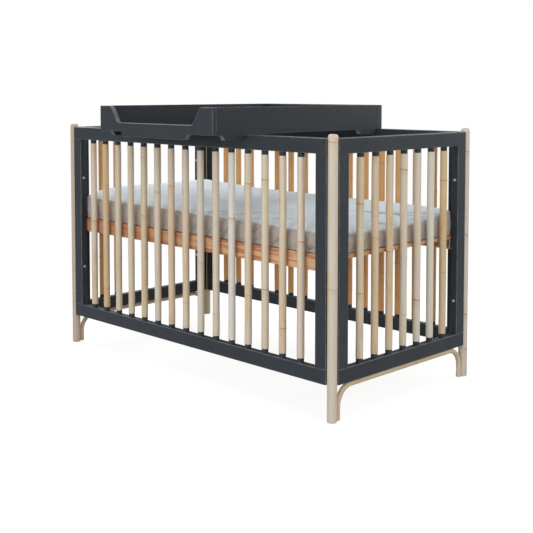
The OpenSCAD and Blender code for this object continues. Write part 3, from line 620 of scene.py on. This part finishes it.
def painted_wood():
    tree, given = group(
        "painted_wood",
        (("Paint", "Color", (0.04, 0.05, 0.06, 1)), ("Rubbed and highlit", "Color", (0.09, 0.10, 0.11, 1)),
         ("Stretch", "Vector", (1, 1, 1)), ("Edges", "Float", 1.0)),
        (("Color", "Color"), ("Roughness", "Float"), ("Height", "Float")))
    place = put(tree, "ShaderNodeTexCoord").outputs["Object"]
    long_way = put(tree, "ShaderNodeVectorMath", {0: place, 1: given["Stretch"]},
                   operation="MULTIPLY")
    grain = noise(tree, long_way.outputs[0], 240.0, 3.0, 0.6)
    clouds = noise(tree, place, 7.0, 2.0)
    peel = noise(tree, place, 900.0, 1.0)
    at_edges = put(tree, "ShaderNodeGroup", {"Reach": 0.0030}, node_tree=rounded_edge_group).outputs[0]
    # Rounded edges turn pale: partly rubbed paint, partly a painted highlight
    wear_and_highlight_mask = maths(tree, "MULTIPLY", maths(tree, "MULTIPLY", at_edges, given["Edges"]),
                   spread(tree, noise(tree, place, 40.0), 0.35, 0.7, 0.45, 0.90))
    deeper = mixed(tree, spread(tree, clouds, 0.3, 0.7, 0.0, 0.16), given["Paint"],
                   (0.016, 0.018, 0.021, 1))
    fibred = mixed(tree, spread(tree, grain, 0.45, 0.75, 0.0, 0.05), deeper, given["Rubbed and highlit"])
    rough = maths(tree, "MULTIPLY_ADD", clouds, 0.14, 0.48)
    height = maths(tree, "MULTIPLY_ADD", peel, 0.25, grain)
    put(tree, "NodeGroupOutput", {"Color": mixed(tree, wear_and_highlight_mask, fibred, given["Rubbed and highlit"]),
                                  "Roughness": rough, "Height": height})
    return tree


painted_wood_group = painted_wood()


anthracite = (0.0245, 0.0310, 0.0382)
# Painted shade: a darker copy of the same paint for the end panels' rails and the tray's sides
shaded_anthracite = (0.0205, 0.0262, 0.0325)
# Pale grey for the rounded edges: rubbed paint and a painted highlight
rubbed_and_highlit_grey = (0.180, 0.196, 0.206, 1)


def paint_material(name, stretch, edges=1.0, coat=anthracite):
    made, tree, shader = material(name, **{"Specular IOR Level": 0.2})
    pattern = put(tree, "ShaderNodeGroup",
                  {"Paint": (*coat, 1), "Rubbed and highlit": rubbed_and_highlit_grey, "Stretch": stretch,
                   "Edges": edges}, node_tree=painted_wood_group)
    finish_with(tree, shader, pattern, 0.05, 0.0004)
    return made


def dress(node, made):
    for slot in nodes[node].material_slots:
        slot.material = made


paint_along = paint_material("anthracite_along", (0.06, 1, 1))
# The end panels' rails and the tray's side boards take the darker coat as painted shade
paint_shaded_across = paint_material("anthracite_shaded_across", (1, 0.06, 1), coat=shaded_anthracite)
paint_upright = paint_material("anthracite_upright", (1, 1, 0.06))
paint_turned = paint_material("anthracite_turned", (1, 1, 0.06), 0.0)
for side in ("front", "back", "left", "right"):
    lengthwise = paint_along if side in ("front", "back") else paint_shaded_across
    dress(side + "_top_rail", lengthwise)
    dress(side + "_bottom_rail", lengthwise)
    dress(side + "_collars", paint_turned)
    for end in ("left", "right") if side in ("front", "back") else ("front", "back"):
        dress(side + "_" + end + "_stile", paint_upright)


# Bolts, inserts and screws
# Zinc-plated button-head bolts with a hexagon socket, wood screws and the folded steel brackets
# of the base: bare metal with faint brushing and brighter edges. The threaded inserts are
# near-black metal.
def bare_metal(name, colour, rough):
    made, tree, shader = material(name, **{"Metallic": 1.0})
    place = put(tree, "ShaderNodeTexCoord").outputs["Object"]
    cloud = noise(tree, place, 160.0, 3.0)
    squashed = put(tree, "ShaderNodeVectorMath", {0: place, 1: (1, 1, 14)}, operation="MULTIPLY")
    brushed = noise(tree, squashed.outputs[0], 500.0, 2.0)
    at_edges = put(tree, "ShaderNodeGroup", {"Reach": 0.0008}, node_tree=rounded_edge_group).outputs[0]
    dull = tuple(0.72 * c for c in colour)
    bright = tuple(min(1.0, 1.12 * c) for c in colour)
    base = mixed(tree, spread(tree, cloud, 0.35, 0.7), (*colour, 1), (*dull, 1))
    tree.links.new(mixed(tree, at_edges, base, (*bright, 1)), shader.inputs["Base Color"])
    tree.links.new(maths(tree, "MULTIPLY_ADD", brushed, 0.22, rough), shader.inputs["Roughness"])
    relief = put(tree, "ShaderNodeBump", {"Height": brushed, "Strength": 0.12, "Distance": 0.0002})
    tree.links.new(relief.outputs[0], shader.inputs["Normal"])
    return made


zinc = bare_metal("zinc_plated", (0.52, 0.54, 0.56), 0.30)
# Near-black metal for the threaded inserts
near_black_metal = bare_metal("near_black_steel", (0.030, 0.032, 0.036), 0.46)
for node in ("panel_bolts", "brace_screws", "slat_screws", "base_brackets", "bracket_screws",
             "bracket_bolts"):
    dress(node, zinc)
for node in ("post_inserts", "height_inserts"):
    dress(node, near_black_metal)


# Slatted base
# Planed pine: two side rails, ledgers screwed along them, and fourteen slats that lie on the
# ledgers. The wood is orange-brown with redder streaks along each board.
def pine_grain():
    tree, given = group(
        "pine_grain",
        (("Early wood", "Color", (0.6, 0.35, 0.2, 1)), ("Late wood", "Color", (0.4, 0.18, 0.09, 1)),
         ("Stretch", "Vector", (0.05, 1, 1)), ("Streaks", "Float", 110.0)),
        (("Color", "Color"), ("Roughness", "Float"), ("Height", "Float")))
    place = put(tree, "ShaderNodeTexCoord").outputs["Object"]
    axes = put(tree, "ShaderNodeSeparateXYZ", {0: place}).outputs
    leaning = put(tree, "ShaderNodeCombineXYZ",
                  {0: axes[0], 1: axes[1], 2: maths(tree, "MULTIPLY_ADD", axes[0], 0.05, axes[2])})
    long_way = put(tree, "ShaderNodeVectorMath", {0: leaning.outputs[0], 1: given["Stretch"]},
                   operation="MULTIPLY").outputs[0]
    streaks = noise(tree, long_way, given["Streaks"], 2.0, 0.55)
    broad = noise(tree, long_way, 30.0, 2.0)
    fine = noise(tree, long_way, 700.0, 3.0, 0.6)
    late = maths(tree, "MULTIPLY", spread(tree, streaks, 0.47, 0.56),
                 spread(tree, fine, 0.2, 0.8, 0.7, 1.0))
    late = maths(tree, "MULTIPLY", late, spread(tree, broad, 0.36, 0.54, 0.45, 1.0))
    wood = mixed(tree, maths(tree, "MULTIPLY", late, 0.90), given["Early wood"], given["Late wood"])
    toned = mixed(tree, spread(tree, axes[0], 0.4, -0.5, 0.0, 0.55), wood, given["Late wood"])
    at_edges = put(tree, "ShaderNodeGroup", {"Reach": 0.0015}, node_tree=rounded_edge_group).outputs[0]
    edged = mixed(tree, maths(tree, "MULTIPLY", at_edges, 0.4), toned, given["Early wood"])
    rough = maths(tree, "MULTIPLY_ADD", fine, 0.2, 0.48)
    put(tree, "NodeGroupOutput", {"Color": edged, "Roughness": rough,
                                  "Height": maths(tree, "ADD", fine, late)})
    return tree


pine_grain_group = pine_grain()


def wood_material(name, early, late, stretch, streaks):
    made, tree, shader = material(name, **{"Specular IOR Level": 0.35})
    pattern = put(tree, "ShaderNodeGroup",
                  {"Early wood": (*early, 1), "Late wood": (*late, 1), "Stretch": stretch,
                   "Streaks": streaks}, node_tree=pine_grain_group)
    finish_with(tree, shader, pattern, 0.25, 0.0004)
    return made


pine_early = (0.74, 0.455, 0.26)
pine_late = (0.42, 0.145, 0.065)
pine_streaks = 92.0
pine_along = wood_material("pine_along", pine_early, pine_late, (0.05, 1, 1), pine_streaks)
pine_across = wood_material("pine_across", pine_early, pine_late, (1, 0.05, 1), pine_streaks)
beech = wood_material("beech", (0.60, 0.43, 0.27), (0.48, 0.32, 0.19), (1, 1, 0.1), 260.0)
for node in ("base_front_rail", "base_back_rail", "base_ledgers"):
    dress(node, pine_along)
dress("base_slats", pine_across)
dress("stile_dowels", beech)
dress("tray_dowels", beech)


# Mattress
# A foam core in a sewn cover: a pale grey-blue jersey top over taupe woven sides, joined by a
# seam that the crown rises from. The cover is blown up by a short cloth simulation.
half_l = 0.70
half_w = 0.35
seam_z = 0.6153
pad_low = 0.5293
crown_high = 0.038
seam_in_use = 0.6155
mesh = nodes["mattress"].data.copy()
pad = bpy.data.objects.new("mattress_pad", mesh)
scene.collection.objects.link(pad)
merged = bmesh.new()
merged.from_mesh(mesh)
bmesh.ops.remove_doubles(merged, verts=merged.verts, dist=0.00002)
bmesh.ops.recalc_face_normals(merged, faces=merged.faces)
merged.to_mesh(mesh)
merged.free()


# The seam sags between the corners of both ends, and the whole pad leans a little
def seam_height(x, y):
    along, across = x / half_l, y / half_w
    deepest = np.where(along > 0, 0.0215 + 0.0065 * across, 0.010)
    sag = deepest * np.clip(1 - across ** 2, 0, 1) ** 1.6 * along ** 6
    return seam_in_use - 0.005 * along + 0.0065 * across + 0.005 * along * across - sag


def pad_points():
    places = np.empty(len(pad.data.vertices) * 3)
    pad.data.vertices.foreach_get("co", places)
    return places.reshape(-1, 3)


def move_pad(places):
    pad.data.vertices.foreach_set("co", np.ascontiguousarray(places).ravel())
    pad.data.update()


# How far out towards the seam a point lies, from the middle at 0 to the seam at about 1
def towards_rim(places):
    return np.maximum(np.abs(places[:, 0]) / 0.697, np.abs(places[:, 1]) / 0.3465)


# The pad's mesh becomes what its modifiers have made of it
def keep_made():
    graph = bpy.context.evaluated_depsgraph_get()
    made = bpy.data.meshes.new_from_object(pad.evaluated_get(graph), depsgraph=graph)
    pad.modifiers.clear()
    pad.data = made
    made.name = "mattress_pad"
    return made


# The cover before it is blown up: 3 mm short at the ends and 2 mm at the sides, with its seam at
# the height that it has in use, and fuller at the left end
start = pad_points()
share = np.clip((start[:, 2] - pad_low) / (seam_z - pad_low), 0, 1)
crown = np.clip((start[:, 2] - seam_z) / crown_high, 0, 1)
seam_lift = seam_height(start[:, 0], start[:, 1]) - seam_z
leftmost = np.clip((-start[:, 0] - 0.30) / 0.25, 0, 1)
backmost = np.clip(start[:, 1] / half_w, 0, 1)
steeper = 1 + 1.3 * leftmost * (0.5 + 0.5 * backmost)
fuller = np.sin(np.minimum(np.arcsin(crown) * steeper, math.pi / 2))
crown_lift = -0.005 * start[:, 0] / half_l - 0.004 * start[:, 1] / half_w - 0.0055
crown_lift += leftmost * (0.003 + 0.004 * backmost)
start[:, 2] += (crown_high * (fuller - crown) + seam_lift * share ** 2 * (1 - fuller)
                + crown_lift * fuller)
start[:, 0] *= 1 - 0.003 / half_l
start[:, 1] *= 1 - 0.002 / half_w
move_pad(start)
remesh = pad.modifiers.new("even_mesh", "REMESH")
remesh.mode = "VOXEL"
remesh.voxel_size = 0.0095
remesh.use_smooth_shade = True
even = keep_made()

# The cover is sewn fast at the seam and rests on the slats, and elsewhere it gives by 3 to 4 mm
top_give = 0.003
side_give = 0.004
before = pad_points()
above = before[:, 2] - seam_height(before[:, 0], before[:, 1])
even.attributes.new("above_seam", "FLOAT", "POINT").data.foreach_set("value", above)
held = pad.vertex_groups.new(name="sewn_and_resting")
sewn = (np.abs(above) < 0.006) & (towards_rim(before) > 0.975)
resting = before[:, 2] < pad_low + 0.008
held.add([int(i) for i in np.nonzero(sewn | resting)[0]], 1.0, "REPLACE")
cloth = pad.modifiers.new("cover", "CLOTH")
cloth.settings.quality = 6
cloth.settings.mass = 0.25
cloth.settings.tension_stiffness = 22
cloth.settings.compression_stiffness = 22
cloth.settings.bending_stiffness = 0.35
cloth.settings.use_pressure = True
cloth.settings.uniform_pressure_force = 4.0
cloth.settings.shrink_min = -0.012
cloth.settings.vertex_group_mass = held.name
cloth.settings.effector_weights.gravity = 0.0
cloth.collision_settings.use_collision = False
for step in range(1, 21):
    scene.frame_set(step)
keep_made()
pad.vertex_groups.clear()
scene.frame_set(1)
after = pad_points()
moved = after - before
reach = np.linalg.norm(moved, axis=1)
cap = np.where(before[:, 2] > seam_z + 0.004, top_give, side_give)
after = before + moved * (cap * np.tanh(reach / cap) / np.maximum(reach, 1e-9))[:, None]
move_pad(after)

# The foot is squared up where the pad's weight presses the cover onto the slats, and so are the
# two left corners, where the cover's side seams run
pressed = pad_points()
corner_r = 0.034
pressed_out = 0.010
pressed_up = 0.014
past = np.abs(pressed[:, :2]) - (np.array((half_l, half_w)) - corner_r)
is_past = (past > 0).any(axis=1)
nearest_side = (past == past.max(axis=1)[:, None]) * 1.0
outward = np.where(is_past[:, None], np.maximum(past, 0), nearest_side)
size = np.linalg.norm(outward, axis=1)
inset = corner_r - np.where(is_past, size, past.max(axis=1))
push = pressed_out * np.clip(1 - (pressed[:, 2] - pad_low) / pressed_up, 0, 1) ** 1.5
push *= np.clip(inset / 0.012, 0, 1) * np.clip((0.09 - inset) / 0.06, 0, 1)
cornering = (past > 0).all(axis=1) & (pressed[:, 0] < 0)
sharper = 4 * (outward[:, 0] * outward[:, 1] / np.maximum(size, 1e-9) ** 2) ** 2
push += np.where(cornering, 0.26 * size ** 3 / corner_r ** 2 * sharper, 0)
pressed[:, :2] += (np.sign(pressed[:, :2]) * outward / np.maximum(size, 1e-9)[:, None]
                   * push[:, None])
move_pad(pressed)

# One level of subdivision, then the folds. Those of the top are drawn in plan, those of the front
# and the right end on the upright side: (width, depth, shade, points along the fold).
finer = pad.modifiers.new("finer", "SUBSURF")
finer.levels = 1
finer.render_levels = 1
fine = keep_made()
top_folds = [
    (0.0065, 0.0012, 0.6, ((0.052, -0.329), (0.120, -0.304), (0.187, -0.294))),
    (0.0065, 0.0012, 0.6, ((0.129, -0.322), (0.242, -0.302), (0.304, -0.280), (0.381, -0.268))),
    (0.0065, 0.0010, 0.5, ((0.151, -0.337), (0.230, -0.334), (0.293, -0.324), (0.334, -0.310))),
    (0.0065, 0.0010, 0.5, ((0.366, -0.308), (0.483, -0.286))),
    (0.0050, 0.0014, 0.2, ((-0.188, -0.341), (-0.166, -0.318))),
    (0.0065, 0.0016, 0.8, ((0.564, -0.095), (0.616, 0.032), (0.638, 0.085), (0.657, 0.142),
                           (0.680, 0.192))),
    (0.0065, 0.0012, 0.6, ((0.586, -0.053), (0.622, 0.024))),
    (0.0065, 0.0012, 0.6, ((0.622, 0.065), (0.640, 0.165), (0.660, 0.216))),
    (0.0065, 0.0012, 0.6, ((0.644, -0.124), (0.652, -0.091), (0.667, -0.033), (0.683, 0.026))),
    (0.0065, 0.0010, 0.5, ((0.664, 0.094), (0.691, 0.177))),
    (0.0065, 0.0010, 0.5, ((0.652, 0.191), (0.687, 0.253))),
]
front_folds = [
    (0.010, 0.0022, 0.5, ((-0.006, 0.538), (0.046, 0.591))),
    (0.010, 0.0022, 0.5, ((0.073, 0.524), (0.122, 0.578))),
    (0.011, 0.0024, 0.6, ((0.160, 0.526), (0.223, 0.604))),
    (0.011, 0.0024, 0.6, ((0.264, 0.534), (0.375, 0.603))),
    (0.009, 0.0016, 0.4, ((0.320, 0.536), (0.375, 0.565))),
    (0.011, 0.0024, 0.6, ((0.408, 0.531), (0.498, 0.590))),
    (0.011, -0.0026, -0.7, ((0.491, 0.544), (0.622, 0.602))),
    (0.009, 0.0030, 0.9, ((0.576, 0.535), (0.622, 0.553))),
]
end_folds = [(0.012, 0.0018, 0.4, ((-0.30 + 0.11 * i, 0.545), (-0.25 + 0.11 * i, 0.594)))
             for i in range(4)]
places = pad_points()
above = np.empty(len(places))
fine.attributes["above_seam"].data.foreach_get("value", above)
normals = np.empty(len(fine.vertices) * 3)
fine.vertices.foreach_get("normal", normals)
normals = normals.reshape(-1, 3)
depth = np.zeros(len(places))
shade = np.zeros(len(places))
far_off = 9.0
fold_side = np.full(len(places), far_off)
fold_near = np.full(len(places), far_off)


def near_line(flat, line):
    nearest = np.full(len(flat), far_off)
    along = np.zeros(len(flat))
    side = np.zeros(len(flat))
    run = 0.0
    for a, b in zip(line, line[1:]):
        a, b = np.array(a), np.array(b)
        span = np.linalg.norm(b - a)
        t = np.clip((flat - a) @ (b - a) / span ** 2, 0, 1)
        away = np.linalg.norm(flat - (a + t[:, None] * (b - a)), axis=1)
        across = ((b - a)[0] * (flat - a)[:, 1] - (b - a)[1] * (flat - a)[:, 0]) / span
        along = np.where(away < nearest, run + t * span, along)
        side = np.where(away < nearest, across, side)
        nearest = np.minimum(away, nearest)
        run += span
    return nearest, along / run, side


on_front = places[:, 1] < -0.33
on_end = places[:, 0] > 0.68
for folds, axes_seen, here in ((top_folds, [0, 1], above > 0), (front_folds, [0, 2], on_front),
                               (end_folds, [1, 2], on_end)):
    for width, deep, dark, line in folds:
        away, along, side = near_line(places[:, axes_seen], line)
        fade = np.sin(math.pi * np.clip(along, 0.06, 0.94)) ** 0.7 * here
        depth += deep * fade * np.exp(-(away / width) ** 2)
        shade += dark * fade * np.exp(-(away / (width + 0.003)) ** 2)
        fold_side = np.where(away < fold_near, side, fold_side)
        fold_near = np.minimum(fold_near, away)
seam_groove = 0.0007
groove_reach = 0.0035
in_seam = seam_groove * np.exp(-(above / groove_reach) ** 2)
depth += np.where(towards_rim(places) > 0.95, in_seam, 0)
move_pad(places - normals * depth[:, None])
fine.attributes.new("fold_shade", "FLOAT", "POINT").data.foreach_set("value", shade)
fine.attributes.new("fold_side", "FLOAT", "POINT").data.foreach_set("value", fold_side)

made, tree, shader = material("mattress_cover", **{"Sheen Weight": 0.25, "Sheen Roughness": 0.5,
                                                   "Specular IOR Level": 0.2})
place = put(tree, "ShaderNodeTexCoord").outputs["Object"]
axes = put(tree, "ShaderNodeSeparateXYZ", {0: place}).outputs
thread_turns = 4200.0
threads = [maths(tree, "SINE", maths(tree, "MULTIPLY", axes[i], thread_turns)) for i in range(3)]
weave = maths(tree, "ADD", maths(tree, "MULTIPLY", threads[0], threads[1]),
              maths(tree, "MULTIPLY", threads[2], maths(tree, "ADD", threads[0], threads[1])))
slub = noise(tree, place, 55.0, 4.0, 0.6)
fuzz = noise(tree, place, 900.0, 2.0)
above = put(tree, "ShaderNodeAttribute", attribute_name="above_seam").outputs["Fac"]
fold = put(tree, "ShaderNodeAttribute", attribute_name="fold_shade").outputs["Fac"]
top_wraps_down = 0.0022
above = maths(tree, "ADD", above, top_wraps_down)
blur = spread(tree, axes[0], 0.64, 0.70, 0.0026, 0.0050)
is_top = spread(tree, maths(tree, "DIVIDE", above, blur), -1.0, 1.0)
top_cloth = mixed(tree, spread(tree, slub, 0.3, 0.7), (0.69, 0.785, 0.865, 1),
                  (0.73, 0.83, 0.905, 1))
side_cloth = mixed(tree, spread(tree, slub, 0.3, 0.7), (0.415, 0.366, 0.330, 1),
                   (0.480, 0.430, 0.392, 1))
cloth_colour = mixed(tree, is_top, side_cloth, top_cloth)
fold_side = put(tree, "ShaderNodeAttribute", attribute_name="fold_side").outputs["Fac"]
line = maths(tree, "MULTIPLY", bell(tree, fold_side, 0.0036), 0.85)
in_fold = maths(tree, "MULTIPLY", fold, maths(tree, "ADD", line, 0.07), clamp=True)
folded = mixed(tree, in_fold, cloth_colour, (0.16, 0.15, 0.15, 1))
on_ridge = maths(tree, "MULTIPLY", fold, -0.16, clamp=True)
lit = mixed(tree, on_ridge, folded, (0.80, 0.76, 0.72, 1))
woven = mixed(tree, spread(tree, weave, -1.5, 2.0, 0.0, 0.10), lit, (0.75, 0.72, 0.68, 1))
at_seam = maths(tree, "MULTIPLY", bell(tree, above, 0.0011), 0.10)
stitched = mixed(tree, at_seam, woven, (0.16, 0.13, 0.11, 1))
tree.links.new(stitched, shader.inputs["Base Color"])
tree.links.new(maths(tree, "MULTIPLY_ADD", fuzz, 0.15, 0.74), shader.inputs["Roughness"])
relief = put(tree, "ShaderNodeBump", {"Height": maths(tree, "MULTIPLY_ADD", weave, 0.35, fuzz),
                                      "Strength": 0.18, "Distance": 0.0005})
tree.links.new(relief.outputs[0], shader.inputs["Normal"])
fine.materials.clear()
fine.materials.append(made)
for polygon in fine.polygons:
    polygon.use_smooth = True
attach(pad, "mattress")
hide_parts("mattress")


# Changing tray
# Four painted boards round a thin painted floor, dowelled at the corners. Their edges are rounded
# by hand, the front board has a wide cut-out, and tabs below the boards catch the top rails.
tray_x = 0.014
tray_half = 0.317
tray_low = 0.9123
tray_front = -0.533
tray_back = 0.368
board = 0.018
edge_round = 0.0026
joint_round = 0.0004
dowel_x = 0.308
dowel_heights = (0.028, 0.072)
near_dowel = 0.0046
groove_low = 0.007
groove_high = 0.015
butt_gap = 0.0008
hair = 0.0001


# A board's edges round its two broad faces, which look along axis, are rounded where is_rim says
# so. Where is_joint does, they are only broken, because another board butts on them.
def rounded_board(name, node, axis, is_rim, is_joint):
    mesh = nodes[node].data.copy()
    mesh.name = name
    solid = bmesh.new()
    solid.from_mesh(mesh)
    bmesh.ops.remove_doubles(solid, verts=solid.verts, dist=0.00001)
    bmesh.ops.dissolve_limit(solid, angle_limit=math.radians(0.5), verts=solid.verts,
                             edges=solid.edges)
    bmesh.ops.recalc_face_normals(solid, faces=solid.faces)

    def outer(edge):
        if len(edge.link_faces) != 2 or edge.calc_face_angle(0) < math.radians(60):
            return False
        tilts = sorted(abs(face.normal[axis]) for face in edge.link_faces)
        return tilts[0] < 0.1 and tilts[1] > 0.99

    rim = [e for e in solid.edges if outer(e) and is_rim([v.co for v in e.verts])]
    bmesh.ops.bevel(solid, geom=rim, offset=edge_round, offset_type="OFFSET", segments=4,
                    profile=0.5, affect="EDGES", clamp_overlap=True)
    joint = [e for e in solid.edges if outer(e) and is_joint([v.co for v in e.verts])]
    bmesh.ops.bevel(solid, geom=joint, offset=joint_round, offset_type="OFFSET", segments=1,
                    profile=0.5, affect="EDGES", clamp_overlap=True)
    solid.to_mesh(mesh)
    solid.free()
    piece = bpy.data.objects.new(name, mesh)
    scene.collection.objects.link(piece)
    for polygon in mesh.polygons:
        polygon.use_smooth = True
    mesh.set_sharp_from_angle(angle=math.radians(40))
    even = piece.modifiers.new("even_shading", "WEIGHTED_NORMAL")
    even.keep_sharp = True
    mesh.materials.clear()
    mesh.materials.append(paint_shaded_across if axis == 0 else paint_along)
    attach(piece, "changing_tray")
    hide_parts(node)


def in_groove(points):
    return all(tray_low + groove_low < p.z < tray_low + groove_high for p in points)


def at_dowel(points):
    return all(min(math.hypot(abs(p.x - tray_x) - dowel_x, p.z - tray_low - z)
                   for z in dowel_heights) < near_dowel for p in points)


def at_end(points):
    return all(abs(p.x - tray_x) > tray_half - hair for p in points)


def front_back_rims(inner_y):
    def inside(points):
        return all(abs(p.y - inner_y) < hair for p in points)

    def rim(points):
        return not (inside(points) and (in_groove(points) or at_dowel(points) or at_end(points)))

    def joint(points):
        return inside(points) and at_end(points)

    return rim, joint


def side_rim(points):
    front_end = tray_front + board + butt_gap
    back_end = tray_back - board - butt_gap
    return not in_groove(points) and all(front_end <= p.y <= back_end for p in points)


def no_joint(points):
    return False


rounded_board("tray_front_rounded", "tray_front_board", 1, *front_back_rims(tray_front + board))
rounded_board("tray_back_rounded", "tray_back_board", 1, *front_back_rims(tray_back - board))
rounded_board("tray_left_rounded", "tray_left_board", 0, side_rim, no_joint)
rounded_board("tray_right_rounded", "tray_right_board", 0, side_rim, no_joint)
dress("tray_floor", paint_along)
